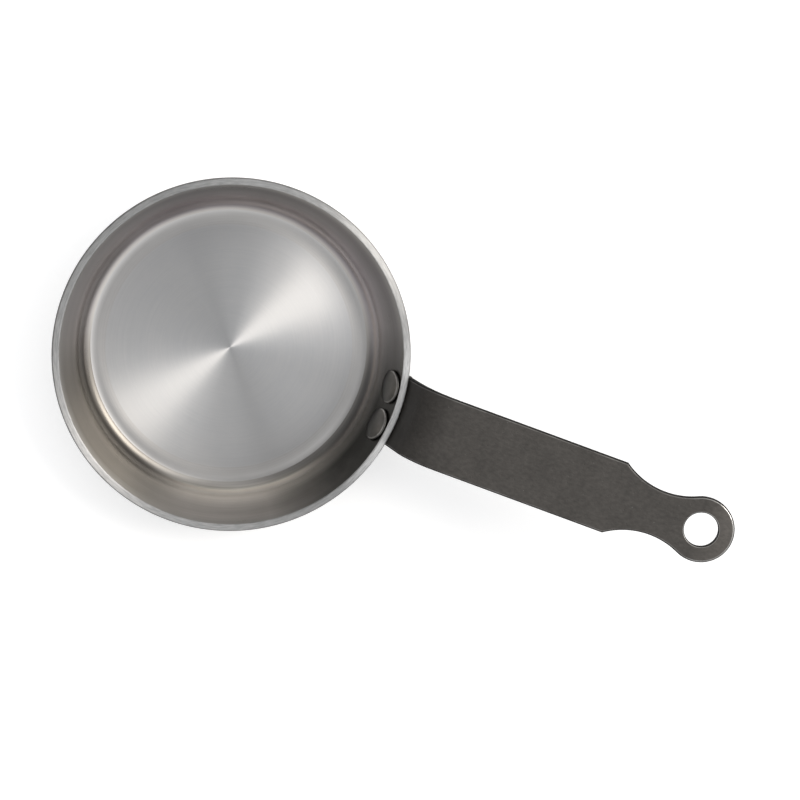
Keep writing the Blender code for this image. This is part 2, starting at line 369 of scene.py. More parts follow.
wall_steel, tree, shader = new_material("satin_wall_steel", Metallic=1.0, Anisotropic=0.2)
place = object_place(tree)
_, height, outward = radius_and_height(tree)
lines = ring_pattern(tree, height, *FINE_LINES)
bands = ring_pattern(tree, height, *WIDE_BANDS)
patches = cloudy(tree, place, 60.0, 4.0, 0.6)
mixed = plus(tree, times(tree, lines, 0.3), times(tree, patches, 0.3), times(tree, bands, 0.4))
colour = two_colours(tree, from_to(tree, mixed, *NOISE_MIDDLE, 0.0, 1.0), *WALL_COLOURS)
print("wall finish:", wall_steel.name)

# %% [markdown]
# Light and shade are painted on the inside of the wall, differently from side to side and with
# height, with slight tints. Each row has an azimuth and a spread in degrees, the height where it
# begins, the two heights between which it turns, and its colour below and above them. A painted
# light lies along the foot of the wall too. The outside has neither, and the normal tells the two
# apart: outside it points away from the axis.

# %% Painted light and shade on the wall
WALL_PAINTED_TONES = (
    (-132.0, 46.0, 0.0020, (0.006, 0.018), (0.42, 0.412, 0.395), (0.68, 0.66, 0.61)),
    (-60.0, 50.0, 0.0031, (0.0045, 0.0165), (1.50, 1.48, 1.43), (0.98, 0.96, 0.95)),
    (80.0, 85.0, 0.0027, (0.006, 0.018), (1.05, 1.01, 1.08), (0.57, 0.55, 0.57)),
    (160.0, 60.0, 0.0027, (0.006, 0.018), (0.86, 0.84, 0.88), (0.84, 0.82, 0.86)),
    (30.0, 45.0, 0.0031, (0.006, 0.018), (1.25, 1.26, 1.31), (0.92, 0.92, 0.95)),
    (-10.0, 38.0, 0.0024, (0.0045, 0.0068), (0.50, 0.50, 0.51), (1.00, 1.00, 1.00)),
    (-64.0, 40.0, 0.0024, (0.0037, 0.0042), (0.50, 0.50, 0.50), (1.24, 1.24, 1.24)),
    (-138.0, 28.0, 0.0070, (0.007, 0.009), (1.00, 1.00, 1.00), (0.74, 0.73, 0.72)),
    (-68.0, 42.0, 0.0037, (0.0044, 0.0056), (1.26, 1.25, 1.21), (1.00, 1.00, 1.00)),
    (65.0, 110.0, 0.0024, (0.0034, 0.0044), (0.80, 0.80, 0.81), (1.00, 1.00, 1.00)),
    (110.0, 85.0, 0.0140, (0.014, 0.019), (1.00, 1.00, 1.00), (0.78, 0.78, 0.78)),
)
PAINTED_TONE_EDGE = 0.0007
RIM_ZONE = (0.0205, 0.0237)
FOOT_RISE, FOOT_FALL = (0.0050, 0.0068), (0.0085, 0.0125)
FAR_FROM_HANDLE = (-170.0, 120.0)
LAMP_SIDE = (60.0, 80.0)

facing = add(tree, "ShaderNodeNewGeometry").outputs["Normal"]
inside = from_to(tree, dot(tree, facing, outward), -0.02, 0.02, 1.0, 0.0)
# A painted light along the foot of the wall, strongest far from the handle and on the lamp's side
painted_foot_far_side = from_to(tree, side_of_pan(tree, outward, *FAR_FROM_HANDLE), 0.0, 1.0, 0.22, 0.55)
foot_share = plus(tree, painted_foot_far_side, times(tree, side_of_pan(tree, outward, *LAMP_SIDE), 0.24))
painted_foot_light = times(tree, band(tree, height, FOOT_RISE, FOOT_FALL), foot_share, inside)
colour = toned(tree, colour, plus(tree, painted_foot_light, 1.0))
below_rim = from_to(tree, height, *RIM_ZONE, 1.0, 0.3)
# Painted light and shade on the inside of the wall, by side and by height
for azimuth, spread, foot, turning, painted_below, painted_above in WALL_PAINTED_TONES:
    above_floor = from_to(tree, height, foot, foot + PAINTED_TONE_EDGE, 0.0, 1.0)
    share = times(tree, side_of_pan(tree, outward, azimuth, spread), inside, below_rim, above_floor)
    painted_tone = two_colours(tree, from_to(tree, height, *turning, 0.0, 1.0), painted_below, painted_above)
    colour = two_colours(tree, share, colour, painted_tone, "MULTIPLY")
print("tints on the wall:", len(WALL_PAINTED_TONES))

# %% [markdown]
# Beside the handle the wall has a painted shade with an uneven edge, and a few tiny dark pits
# are scattered over the steel. A pit is the middle of a cell in a Voronoi pattern. Each cell has a
# random colour, and only cells whose red is high enough get one.

# %% Painted shade and pits
PAINTED_SHADE_DIRECTION = (0.97, -0.24, 0.0)
PAINTED_SHADE_COLOUR = (0.06, 0.058, 0.052)
PIT_COLOUR = (0.05, 0.045, 0.04)
WALL_RELIEF = 0.00001


def pits(tree, place, scale, size, share):
    """1 inside a few small round spots, and 0 around them."""
    cells = add(tree, "ShaderNodeTexVoronoi", {"Vector": place, "Scale": scale})
    chosen = add(tree, "ShaderNodeSeparateColor", {0: cells.outputs["Color"]}).outputs[0]
    near = from_to(tree, cells.outputs["Distance"], size * 0.5, size, 1.0, 0.0)
    return times(tree, near, calc(tree, "GREATER_THAN", chosen, 1.0 - share))


# A painted shade on the wall beside the handle
uneven = times(tree, minus(tree, patches, 0.5), 0.12)
painted_shade = from_to(tree, plus(tree, dot(tree, outward, PAINTED_SHADE_DIRECTION), uneven), 0.72, 1.0, 0.0, 1.0)
painted_shade = times(tree, painted_shade, from_to(tree, height, 0.004, 0.012, 0.2, 1.0))
colour = two_colours(tree, painted_shade, colour, PAINTED_SHADE_COLOUR)
spots = pits(tree, place, 160.0, 0.10, 0.05)
relief = minus(tree, plus(tree, bands, times(tree, lines, 0.1)), spots)
finish_with(
    tree, shader, Base_Color=two_colours(tree, spots, colour, PIT_COLOUR),
    Roughness=from_to(tree, mixed, *NOISE_MIDDLE, 0.27, 0.35), Normal=bumps(tree, relief, WALL_RELIEF),
    Tangent=outward,
)
print("nodes in the wall's finish:", len(tree.nodes))

# %% [markdown]
# ## Finish 3: the handle's coat
#
# The strip has a thin baked coat of dark grey-brown. It is satin, with the fine grain of an
# orange peel and some tiny bright flecks. A painted shade darkens it in the bend beside the pan,
# and it is paler on the hanging ring. Where the edges begin to roll over it has worn through to a
# thin line of bare steel, most of all round the ring, and outside that line it is dull and has a
# painted shade.
#
# The grain has to follow the strip round its bend, so the material reads the place that each
# point had on the flat blank, which the forming step keeps as an attribute. A second attribute
# says how far the edge has rolled over there: 0 on the flat and 1 on the strip's side.

# %% Coated steel
PAINTED_BEND_SHADE = (0.012, 0.050)
RING_TIP = (0.127, 0.136)
RING_WEAR = (0.118, 0.130)
WORN_RISE, WORN_FALL = (0.008, 0.03), (0.09, 0.16)
PAINTED_EDGE_SHADE = (0.11, 0.24)
DULL_ROLL = (0.14, 0.26)
COAT_COLOURS = ((0.050, 0.0455, 0.041), (0.080, 0.073, 0.066))
BARE_STEEL = (0.52, 0.515, 0.50)
PEEL_RELIEF = 0.00003

strip_coat, tree, shader = new_material("coated_strip", Specular_IOR_Level=0.35)
blank_place = add(tree, "ShaderNodeAttribute", attribute_name="blank_place").outputs["Vector"]
roll = add(tree, "ShaderNodeAttribute", attribute_name="roll_over_edge").outputs["Fac"]
station = xyz_of(tree, blank_place)["X"]
peel = cloudy(tree, blank_place, 1500.0, 3.0, 0.55)
drawn_out = add(tree, "ShaderNodeMapping", {"Vector": blank_place, "Scale": (0.6, 1.0, 1.0)}).outputs[0]
streaks = cloudy(tree, drawn_out, 900.0, 4.0, 0.6)
patches = cloudy(tree, blank_place, 90.0, 4.0, 0.6)
mottle = plus(tree, times(tree, streaks, 0.6), times(tree, patches, 0.4))
coat = two_colours(tree, from_to(tree, mottle, 0.36, 0.64, 0.0, 1.0), *COAT_COLOURS)
# A painted shade darkens the coat in the bend beside the pan
coat = toned(tree, coat, from_to(tree, station, *PAINTED_BEND_SHADE, 0.48, 1.0, smooth=True))
coat = toned(tree, coat, from_to(tree, station, *RING_TIP, 1.0, 1.6))
# A painted shade darkens the coat where the edges roll over
coat = toned(tree, coat, from_to(tree, roll, *PAINTED_EDGE_SHADE, 1.0, 0.2))

wear = plus(
    tree, from_to(tree, patches, 0.38, 0.62, 0.02, 0.28), from_to(tree, station, *RING_WEAR, 0.0, 0.45),
)
worn = times(tree, band(tree, roll, WORN_RISE, WORN_FALL), wear)
flecks = pits(tree, blank_place, 700.0, 0.16, 0.05)
bare = calc(tree, "MAXIMUM", worn, times(tree, flecks, 0.12))
sheen = plus(tree, times(tree, peel, 0.5), times(tree, streaks, 0.5))
dull = plus(
    tree, from_to(tree, sheen, *NOISE_MIDDLE, 0.38, 0.54), from_to(tree, roll, *DULL_ROLL, 0.0, 0.45),
)
grain = pits(tree, blank_place, 900.0, 0.3, 0.12)
finish_with(
    tree, shader, Base_Color=two_colours(tree, bare, coat, BARE_STEEL),
    Metallic=calc(tree, "MINIMUM", times(tree, worn, 1.2), 1.0),
    Roughness=minus(tree, dull, times(tree, worn, 0.3)),
    Normal=bumps(tree, minus(tree, peel, grain), PEEL_RELIEF),
)
print("handle finish:", strip_coat.name)

# %% [markdown]
# ## Finish 4: the rivets
#
# The rivets are steel too, darkened by heat and squeezed by the press. They are a smoother,
# darker grey than the wall, with a soft sheen and small dents from the die. A painted shade makes
# each head darker low on the wall, and a painted light makes it lighter high up. Each head's edge
# has a painted highlight in places near the rim, with a painted shadow as a dark line just outside
# it. An attribute says how far a point is from the middle of its head: 0 there and 1 at the edge.

# %% Rivet steel
PAINTED_SHADE_HEIGHTS = (0.0150, 0.0215)
PAINTED_HIGHLIGHT_HEIGHTS = (0.0165, 0.0200)
PAINTED_HIGHLIGHT_RISE, PAINTED_HIGHLIGHT_FALL = (0.86, 0.93), (0.955, 0.975)
PAINTED_OUTLINE_SHADOW = (0.965, 0.985)
RIVET_COLOURS = ((0.105, 0.101, 0.094), (0.135, 0.13, 0.122))
PAINTED_HIGHLIGHT_COLOUR = (0.60, 0.585, 0.56)
DENT_RELIEF = 0.00004

dark_rivet, tree, shader = new_material("dark_rivet_steel", Metallic=0.9)
place = object_place(tree)
dents = cloudy(tree, place, 300.0, 2.0, 0.5)
fine = cloudy(tree, place, 3000.0, 3.0, 0.6)
height = radius_and_height(tree)[1]
from_middle = add(tree, "ShaderNodeAttribute", attribute_name="from_middle").outputs["Fac"]
colour = two_colours(tree, from_to(tree, dents, 0.3, 0.7, 0.0, 1.0), *RIVET_COLOURS)
# Painted shade low on the wall and painted light high on it
colour = toned(tree, colour, from_to(tree, height, *PAINTED_SHADE_HEIGHTS, 0.25, 1.6))
# A painted highlight on the head's edge, on the side near the rim
painted_light_share = times(
    tree, band(tree, from_middle, PAINTED_HIGHLIGHT_RISE, PAINTED_HIGHLIGHT_FALL), from_to(tree, dents, 0.35, 0.6, 0.4, 1.0),
    from_to(tree, height, *PAINTED_HIGHLIGHT_HEIGHTS, 0.0, 1.0),
)
colour = two_colours(tree, painted_light_share, colour, PAINTED_HIGHLIGHT_COLOUR)
# A painted shadow as a dark line at the head's edge
finish_with(
    tree, shader, Base_Color=toned(tree, colour, from_to(tree, from_middle, *PAINTED_OUTLINE_SHADOW, 1.0, 0.6)),
    Roughness=from_to(tree, fine, 0.3, 0.7, 0.30, 0.42),
    Normal=bumps(tree, plus(tree, dents, times(tree, fine, 0.15)), DENT_RELIEF),
)
print("rivet finish:", dark_rivet.name)

# %% [markdown]
# ## Sizes
#
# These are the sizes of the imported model. The finer pieces below are made from the same values,
# so they lie exactly where the model's own pieces are.

# %% Sizes of the pan
SHEET_THICKNESS = 0.0025
RIM_DIAMETER = 0.120
INNER_DEPTH = 0.022
WALL_FLARE = math.radians(17.5)
FLOOR_FILLET = 0.006
RIM_EDGE_ROUND = 0.0006
STRIP_WIDTH = 0.025
STRIP_THICKNESS = 0.0025
STRIP_EDGE_ROUND = 0.0008
FLANGE_CORNER_RADIUS = 0.005
NECK_WIDTH = 0.0154
NECK_RADIUS = 0.0255
RING_DIAMETER = 0.0222
HOLE_DIAMETER = 0.0114
HOLE_EDGE_ROUND = 0.0005
RIVET_SHANK_DIAMETER = 0.006
RIVET_HEAD_DIAMETER = 0.0116
RIVET_HEAD_HEIGHT = 0.0016
RIVET_HEAD_EDGE = 0.0005
RIVET_TAIL_DIAMETER = 0.0096
RIVET_TAIL_HEIGHT = 0.0022
RIVET_TAIL_EDGE = 0.0008
RIVET_EDGE_ROUND = 0.0002
HEAD_TO_HEAD_GAP = 0.0022
HEAD_TO_RIM_GAP = 0.0005
FLANGE_PAST_TAIL = 0.0035
BEND_CORNER_ABOVE_RIM = 0.01636
BEND_RADIUS = 0.015
GRIP_RISE = math.radians(12.8)
BEND_CORNER_TO_HOLE = 0.09895
WRAP_PAST_RIM = 0.003
FIT_CLEARANCE = 0.0003

SLOPE_UP = Vector((math.sin(WALL_FLARE), math.cos(WALL_FLARE)))
SLOPE_OUT = Vector((math.cos(WALL_FLARE), -math.sin(WALL_FLARE)))
RIM_INNER = Vector((RIM_DIAMETER / 2 - SHEET_THICKNESS / SLOPE_OUT.x, SHEET_THICKNESS + INNER_DEPTH))
RIM_ACROSS_WALL = RIM_INNER + SHEET_THICKNESS * SLOPE_OUT
print("the level rim is", round((RIM_DIAMETER / 2 - RIM_INNER.x) * 1000, 2), "mm wide")

# %% [markdown]
# ## Turning a profile
#
# The bowl and the rivets are both turned shapes: a profile swept once round an axis. Geometry
# Nodes can do that for any profile. The tree lays a grid, with one row of points for each step
# round the axis, reads the profile's point for each column, and swings it to its angle. The seam
# and the points on the axis are then merged, which closes the body.

# %% A tree that turns a profile
FLOAT = "NodeSocketFloat"
WHOLE = "NodeSocketInt"
VECTOR = "NodeSocketVector"
MATERIAL = "NodeSocketMaterial"
MERGE_DISTANCE = 1e-6


def new_tree(name, sizes):
    """A Geometry Nodes tree with these named inputs, its inputs and its result socket."""
    tree = bpy.data.node_groups.new(name, "GeometryNodeTree")
    tree.interface.new_socket("Geometry", in_out="OUTPUT", socket_type="NodeSocketGeometry")
    tree.interface.new_socket("Geometry", in_out="INPUT", socket_type="NodeSocketGeometry")
    for label, kind in sizes.items():
        tree.interface.new_socket(label, in_out="INPUT", socket_type=kind)
    return tree, tree.nodes.new("NodeGroupInput").outputs, tree.nodes.new("NodeGroupOutput").inputs[0]


def whole(tree, operation, *values):
    """One sum with whole numbers."""
    return add(tree, "FunctionNodeIntegerMath", dict(enumerate(values)), operation=operation).outputs[0]


def of_point(tree, what):
    """The position, normal or index of each point."""
    return add(tree, "GeometryNodeInput" + what).outputs[0]


def change(tree, step, geometry, inputs=None, **settings):
    """The geometry after one step."""
    return add(tree, "GeometryNode" + step, {0: geometry, **(inputs or {})}, **settings).outputs[0]


tree, given, result = new_tree("turn_a_profile", {"Facets": WHOLE})
profile = given["Geometry"]
count = add(tree, "GeometryNodeAttributeDomainSize", {0: profile}, component="MESH").outputs["Point Count"]
rows = whole(tree, "ADD", given["Facets"], 1)
grid = add(tree, "GeometryNodeMeshGrid", {"Vertices X": count, "Vertices Y": rows}).outputs["Mesh"]
number = of_point(tree, "Index")
column = whole(tree, "DIVIDE_FLOOR", number, rows)
row = whole(tree, "FLOORED_MODULO", number, rows)
wanted = {"Geometry": profile, "Value": of_point(tree, "Position"), "Index": column}
read = add(tree, "GeometryNodeSampleIndex", wanted, data_type="FLOAT_VECTOR").outputs["Value"]
point = xyz_of(tree, read)
angle = times(tree, calc(tree, "DIVIDE", row, given["Facets"]), math.tau)
swung = xyz(
    tree, times(tree, point["X"], calc(tree, "COSINE", angle)),
    times(tree, point["X"], calc(tree, "SINE", angle)), point["Z"],
)
body = change(tree, "SetPosition", grid, {"Position": swung})
body = change(tree, "MergeByDistance", body, {"Distance": MERGE_DISTANCE})
feed(tree, change(tree, "SetShadeSmooth", body), result)
turn_tree = tree
print("turning tree:", len(tree.nodes), "nodes")

# %% [markdown]
# ## The bowl
#
# The bowl's section follows a rule: six corners, worked out from the rim, the depth, the flare
# and the sheet, with a fillet at the four that aren't on the axis. The floor and the wall have
# one thickness, so the outer fillet is the inner one plus the sheet. Changing one named input
# gives another bowl. The floor has a further point where each ring of steel begins, so that
# every ring ends on an edge.

# %% A tree that presses the bowl
def by_number(tree, kind, values):
    """The value that belongs to each point's number."""
    node = add(tree, "GeometryNodeIndexSwitch", data_type=kind)
    while len(node.index_switch_items) < len(values):
        node.index_switch_items.new()
    feed(tree, of_point(tree, "Index"), node.inputs["Index"])
    for key, value in enumerate(values):
        feed(tree, value, node.inputs[str(key)])
    return node.outputs[0]


def rounded_line(tree, corners, radius, points):
    """A curve from corner to corner that is rounded off at each."""
    line = add(tree, "GeometryNodeMeshLine", {"Count": len(corners)}).outputs[0]
    line = change(tree, "SetPosition", line, {"Position": by_number(tree, "VECTOR", corners)})
    line = change(tree, "MeshToCurve", line)
    return change(tree, "FilletCurve", line, {"Radius": radius, "Count": points}, mode="POLY")


tree, given, result = new_tree("pressed_bowl", {
    "Rim Diameter": FLOAT, "Inner Depth": FLOAT, "Wall Flare": FLOAT, "Sheet Thickness": FLOAT,
    "Floor Fillet": FLOAT, "Edge Round": FLOAT, "Corner Points": WHOLE, "Facets": WHOLE,
    "Wall Steel": MATERIAL, "Floor Steel": MATERIAL, "Rim Steel": MATERIAL,
    **{f"Ring {number} Start": FLOAT for number in RING_NUMBERS},
    **{f"Ring {number} Steel": MATERIAL for number in RING_NUMBERS},
})
sheet, edge_round = given["Sheet Thickness"], given["Edge Round"]
slope = calc(tree, "TANGENT", given["Wall Flare"])
rim_width = calc(tree, "DIVIDE", sheet, calc(tree, "COSINE", given["Wall Flare"]))
rim_radius = calc(tree, "DIVIDE", given["Rim Diameter"], 2.0)
inner_radius = minus(tree, rim_radius, rim_width)
rim_height = plus(tree, sheet, given["Inner Depth"])
floor_radius = minus(tree, inner_radius, times(tree, given["Inner Depth"], slope))
base_radius = minus(tree, rim_radius, times(tree, rim_height, slope))
ring_starts = [given[f"Ring {number} Start"] for number in RING_NUMBERS]
corners = [
    xyz(tree, z=sheet), *[xyz(tree, start, z=sheet) for start in ring_starts],
    xyz(tree, floor_radius, z=sheet), xyz(tree, inner_radius, z=rim_height),
    xyz(tree, rim_radius, z=rim_height), xyz(tree, base_radius), xyz(tree),
]
fillets = by_number(tree, "FLOAT", [
    0.0, *[0.0 for start in ring_starts], given["Floor Fillet"], edge_round, edge_round,
    plus(tree, given["Floor Fillet"], sheet), 0.0,
])
section = change(tree, "CurveToMesh", rounded_line(tree, corners, fillets, given["Corner Points"]))
piece = change(tree, "Group", section, {"Facets": given["Facets"]}, node_tree=turn_tree)
print("bowl section:", len(corners), "points before rounding")

# %% [markdown]
# Each face of the bowl gets its steel by a rule, so the rules still hold when a size changes.
# The floor and the underside are the faces that are flat, a ring's steel begins at its radius,
# and the cut edge is what faces up near the rim's height. The rest is satin. A later rule
# takes over from the ones before it.

# %% Steel for each face of the bowl
FLAT, NEARLY_FLAT, UPWARD = 0.998, 0.975, 0.5
RIM_FROM = 0.8

facing = xyz_of(tree, of_point(tree, "Normal"))["Z"]
place = xyz_of(tree, of_point(tree, "Position"))
flat = calc(tree, "GREATER_THAN", calc(tree, "ABSOLUTE", facing), FLAT)
nearly_flat = calc(tree, "GREATER_THAN", facing, NEARLY_FLAT)
upward = calc(tree, "GREATER_THAN", facing, UPWARD)
high = calc(tree, "GREATER_THAN", place["Z"], times(tree, rim_height, RIM_FROM))
from_axis, _ = from_z_axis(tree, place)
past_starts = [calc(tree, "GREATER_THAN", from_axis, start) for start in ring_starts]
rings = [
    (times(tree, nearly_flat, past), f"Ring {number} Steel")
    for number, past in zip(RING_NUMBERS, past_starts)
]
at_rim = times(tree, high, upward)
for chosen, steel in ((True, "Wall Steel"), (flat, "Floor Steel"), *rings, (at_rim, "Rim Steel")):
    piece = change(tree, "SetMaterial", piece, {"Selection": chosen, "Material": given[steel]})
feed(tree, change(tree, "RealizeInstances", piece), result)
bowl_tree = tree
print("bowl tree:", len(tree.nodes), "nodes")

# %% [markdown]
# ## From live nodes to a plain mesh
#
# A modifier's inputs are set by their identifiers before the object is first evaluated. The
# Weighted Normal modifier then leans each corner's shading towards the largest faces around it,
# so the flat parts stay flat up to their rounded edges. At the end the evaluated result becomes
# a plain mesh, and the modifiers go.

# %% Shape a piece and keep its mesh
CORNER_POINTS = 10
BOWL_FACETS = 288


def shape_with(item, tree, values):
    """Put a Geometry Nodes tree on an object, with its named inputs filled."""
    modifier = item.modifiers.new(tree.name, "NODES")
    modifier.node_group = tree
    for socket in tree.interface.items_tree:
        if socket.in_out == "INPUT" and socket.name in values:
            modifier[socket.identifier] = values[socket.name]


def start_object(name, data):
    """A new object in the scene that holds a mesh or a lamp."""
    item = bpy.data.objects.new(name, data)
    bpy.context.scene.collection.objects.link(item)
    return item


def plain_piece(name, item):
    """Turn an object and its modifiers into a plain mesh object that stands at the origin."""
    item.modifiers.new("even_shading", "WEIGHTED_NORMAL")
    bpy.context.view_layer.update()
    graph = bpy.context.evaluated_depsgraph_get()
    mesh = bpy.data.meshes.new_from_object(item.evaluated_get(graph), depsgraph=graph)
    bpy.data.objects.remove(item)
    mesh.name = name
    piece = start_object(name, mesh)
    body = bmesh.new()
    body.from_mesh(mesh)
    loose = sum(not edge.is_manifold for edge in body.edges)
    volume = body.calc_volume(signed=True) * 1e6
    print(f"{name}: {len(mesh.polygons)} faces, {loose} open edges, {volume:.3f} cm3")
    body.free()
    return piece


def dress(piece, node):
    """Put a piece in the place of its CAD node."""
    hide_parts(node)
    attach(piece, "root")


raw = start_object("raw_bowl", bpy.data.meshes.new("raw_bowl"))
shape_with(raw, bowl_tree, {
    "Rim Diameter": RIM_DIAMETER, "Inner Depth": INNER_DEPTH, "Wall Flare": WALL_FLARE,
    "Sheet Thickness": SHEET_THICKNESS, "Floor Fillet": FLOOR_FILLET, "Edge Round": RIM_EDGE_ROUND,
    "Corner Points": CORNER_POINTS, "Facets": BOWL_FACETS,
    "Wall Steel": wall_steel, "Floor Steel": floor_steel, "Rim Steel": rim_steel,
    **{f"Ring {number} Start": start for number, (start, _, _) in zip(RING_NUMBERS, RINGS)},
    **{f"Ring {number} Steel": steel for number, steel in zip(RING_NUMBERS, ring_steels)},
})
bowl = plain_piece("pressed_bowl", raw)
dress(bowl, "pan_body")

# %% [markdown]
# ## The handle's blank
#
# The real handle starts as a flat blank, cut from strip: straight sides, a waist, and a ring
# with a hole to hang it by. Its edges are rounded while it is flat. Making it in the same order
# is the easy way here too, because a flat outline with a hole is simple to bevel, and the bent
# one is not.

# %% Stations along the strip
RIVET_BELOW_RIM = RIVET_HEAD_DIAMETER / 2 + HEAD_TO_RIM_GAP
FLANGE_BELOW_RIM = RIVET_BELOW_RIM + RIVET_TAIL_DIAMETER / 2 + FLANGE_PAST_TAIL
FLANGE_FOOT = RIM_ACROSS_WALL + FIT_CLEARANCE * SLOPE_OUT - FLANGE_BELOW_RIM * SLOPE_UP
BEND_ANGLE = math.pi / 2 - WALL_FLARE - GRIP_RISE
BEND_TANGENT = BEND_RADIUS * math.tan(BEND_ANGLE / 2)
BEND_START = FLANGE_BELOW_RIM + BEND_CORNER_ABOVE_RIM - BEND_TANGENT
BEND_END = BEND_START + BEND_RADIUS * BEND_ANGLE
HOLE_STATION = BEND_END + BEND_CORNER_TO_HOLE - BEND_TANGENT
print("bend from", round(BEND_START * 1000, 1), "to", round(BEND_END * 1000, 1), "mm along the strip")

# %% [markdown]
# The outline is a chain of arcs: the flange's rounded corner, the neck, the ring and the hole.
# One half of it is enough, because the other half is its mirror image.

# %% Outline of the blank
CORNER_FACETS = 10
NECK_FACETS = 24
RING_FACETS = 44
HOLE_FACETS = 36


def arc(centre, radius, start, end, facets):
    """Points on an arc about centre, from the angle start to the angle end."""
    angles = [start + (end - start) * step / facets for step in range(facets + 1)]
    return [centre + radius * Vector((math.cos(angle), math.sin(angle))) for angle in angles]


def rounded_corner(before, corner, after, radius, facets):
    """The arc that rounds off the corner between the lines to two neighbouring points."""
    back = (before - corner).normalized()
    ahead = (after - corner).normalized()
    half_angle = back.angle(ahead) / 2
    centre = corner + (back + ahead).normalized() * radius / math.sin(half_angle)
    touch = corner + back * radius / math.tan(half_angle)
    start = math.atan2(touch.y - centre.y, touch.x - centre.x)
    turn = math.copysign(math.pi - 2 * half_angle, -back.cross(ahead))
    return arc(centre, radius, start, start + turn, facets)


def blank_half_outline():
    """One half of the blank, as (station along the strip, distance from its middle)."""
    ring_centre = Vector((HOLE_STATION, 0))
    neck_offset = NECK_WIDTH / 2 + NECK_RADIUS
    neck_reach = math.sqrt((RING_DIAMETER / 2 + NECK_RADIUS) ** 2 - neck_offset ** 2)
    neck_centre = Vector((HOLE_STATION - neck_reach, neck_offset))
    shoulder_angle = math.asin((neck_offset - STRIP_WIDTH / 2) / NECK_RADIUS) - math.pi
    join_angle = math.atan2(-neck_offset, neck_reach)
    neck = arc(neck_centre, NECK_RADIUS, shoulder_angle, join_angle, NECK_FACETS)
    foot = Vector((0, 0))
    foot_corner = Vector((0, STRIP_WIDTH / 2))
    return [
        foot,
        *rounded_corner(foot, foot_corner, neck[0], FLANGE_CORNER_RADIUS, CORNER_FACETS),
        *neck,
        *arc(ring_centre, RING_DIAMETER / 2, join_angle + math.pi, 0, RING_FACETS)[1:],
        *arc(ring_centre, HOLE_DIAMETER / 2, 0, math.pi, HOLE_FACETS),
    ]


print("half outline:", len(blank_half_outline()), "points")

# %% [markdown]
# The blank gets its thickness and its rounded edges while it is flat. The stretch that bends is
# then cut into narrow faces, because a mesh bends at its edges and each face stays flat.

# %% Cut the blank
EDGE_SEGMENTS = 6
WIDE_CUTS = 8
BEND_CUTS = 40


def flat_blank():
    """The blank with rounded edges, its upper face at z = 0."""
    blank = bmesh.new()
    for side in (1, -1):
        blank.faces.new([blank.verts.new((point.x, side * point.y, 0)) for point in blank_half_outline()])
    bmesh.ops.remove_doubles(blank, verts=blank.verts[:], dist=MERGE_DISTANCE)
    bmesh.ops.recalc_face_normals(blank, faces=blank.faces[:])
    bmesh.ops.solidify(blank, geom=blank.faces[:], thickness=STRIP_THICKNESS)
    upper_face = max(vert.co.z for vert in blank.verts)
    bmesh.ops.translate(blank, verts=blank.verts[:], vec=(0, 0, -upper_face))
    hole_edges = []
    outer_edges = []
    for edge in blank.edges:
        one, other = edge.verts
        walls = [face for face in edge.link_faces if abs(face.normal.z) < MERGE_DISTANCE]
        if abs(one.co.z - other.co.z) > MERGE_DISTANCE or len(walls) != 1:
            continue
        at_hole = math.hypot(one.co.x - HOLE_STATION, one.co.y) < (HOLE_DIAMETER + RING_DIAMETER) / 4
        (hole_edges if at_hole else outer_edges).append(edge)
    for edges, radius in ((outer_edges, STRIP_EDGE_ROUND), (hole_edges, HOLE_EDGE_ROUND)):
        bmesh.ops.bevel(
            blank, geom=edges, offset=radius, offset_type="OFFSET", segments=EDGE_SEGMENTS,
            profile=0.5, affect="EDGES", clamp_overlap=False,
        )
    return blank


def cut_across(blank, stations):
    for station in stations:
        bmesh.ops.bisect_plane(
            blank, geom=[*blank.verts, *blank.edges, *blank.faces],
            plane_co=(station, 0, 0), plane_no=(1, 0, 0),
        )


def cut_along(blank, offsets, last_station):
    """Cut the blank lengthwise, up to a station."""
    for offset in offsets:
        verts = [vert for vert in blank.verts if vert.co.x < last_station + MERGE_DISTANCE]
        inside = set(verts)
        edges = [edge for edge in blank.edges if inside.issuperset(edge.verts)]
        faces = [face for face in blank.faces if inside.issuperset(face.verts)]
        bmesh.ops.bisect_plane(
            blank, geom=verts + edges + faces, plane_co=(0, offset, 0), plane_no=(0, 1, 0),
        )


blank = flat_blank()
bend_length = BEND_END - FLANGE_BELOW_RIM
half_width = STRIP_WIDTH / 2
cut_across(blank, [FLANGE_BELOW_RIM * step / WIDE_CUTS for step in range(1, WIDE_CUTS)])
cut_across(blank, [FLANGE_BELOW_RIM + bend_length * step / BEND_CUTS for step in range(BEND_CUTS + 1)])
offsets = [side * half_width * step / WIDE_CUTS for step in range(1, WIDE_CUTS) for side in (-1, 1)]
cut_along(blank, offsets, BEND_END)
bmesh.ops.triangulate(blank, faces=blank.faces[:])
bmesh.ops.remove_doubles(blank, verts=blank.verts[:], dist=MERGE_DISTANCE)
bmesh.ops.dissolve_degenerate(blank, edges=blank.edges[:], dist=MERGE_DISTANCE)
blank_mesh = bpy.data.meshes.new("flat_blank")
blank.to_mesh(blank_mesh)
blank.free()
blank_length = HOLE_STATION + RING_DIAMETER / 2
print("blank:", len(blank_mesh.polygons), "faces,", round(blank_length * 1000, 1), "mm long")

# %% [markdown]
# ## Forming the handle
#
# A press bends the blank. The tree does the same to each point. Its path is a line with one
# rounded corner: up the wall, over the bend and out along the grip. A point's station on the
# blank says how far along the path it goes, and the path's direction there says which way the
# thickness lies. Along the wall the strip is also wrapped round the bowl, and that curve fades
# out towards the grip. The flat place of each point is kept for the coat's grain.

# %% A tree that forms the strip
LEAST_CURVE = 0.001


def keep_as(tree, geometry, name, value, kind="FLOAT"):
    """Keep a value on each point under a name."""
    return change(tree, "StoreNamedAttribute", geometry, {"Name": name, "Value": value}, data_type=kind)


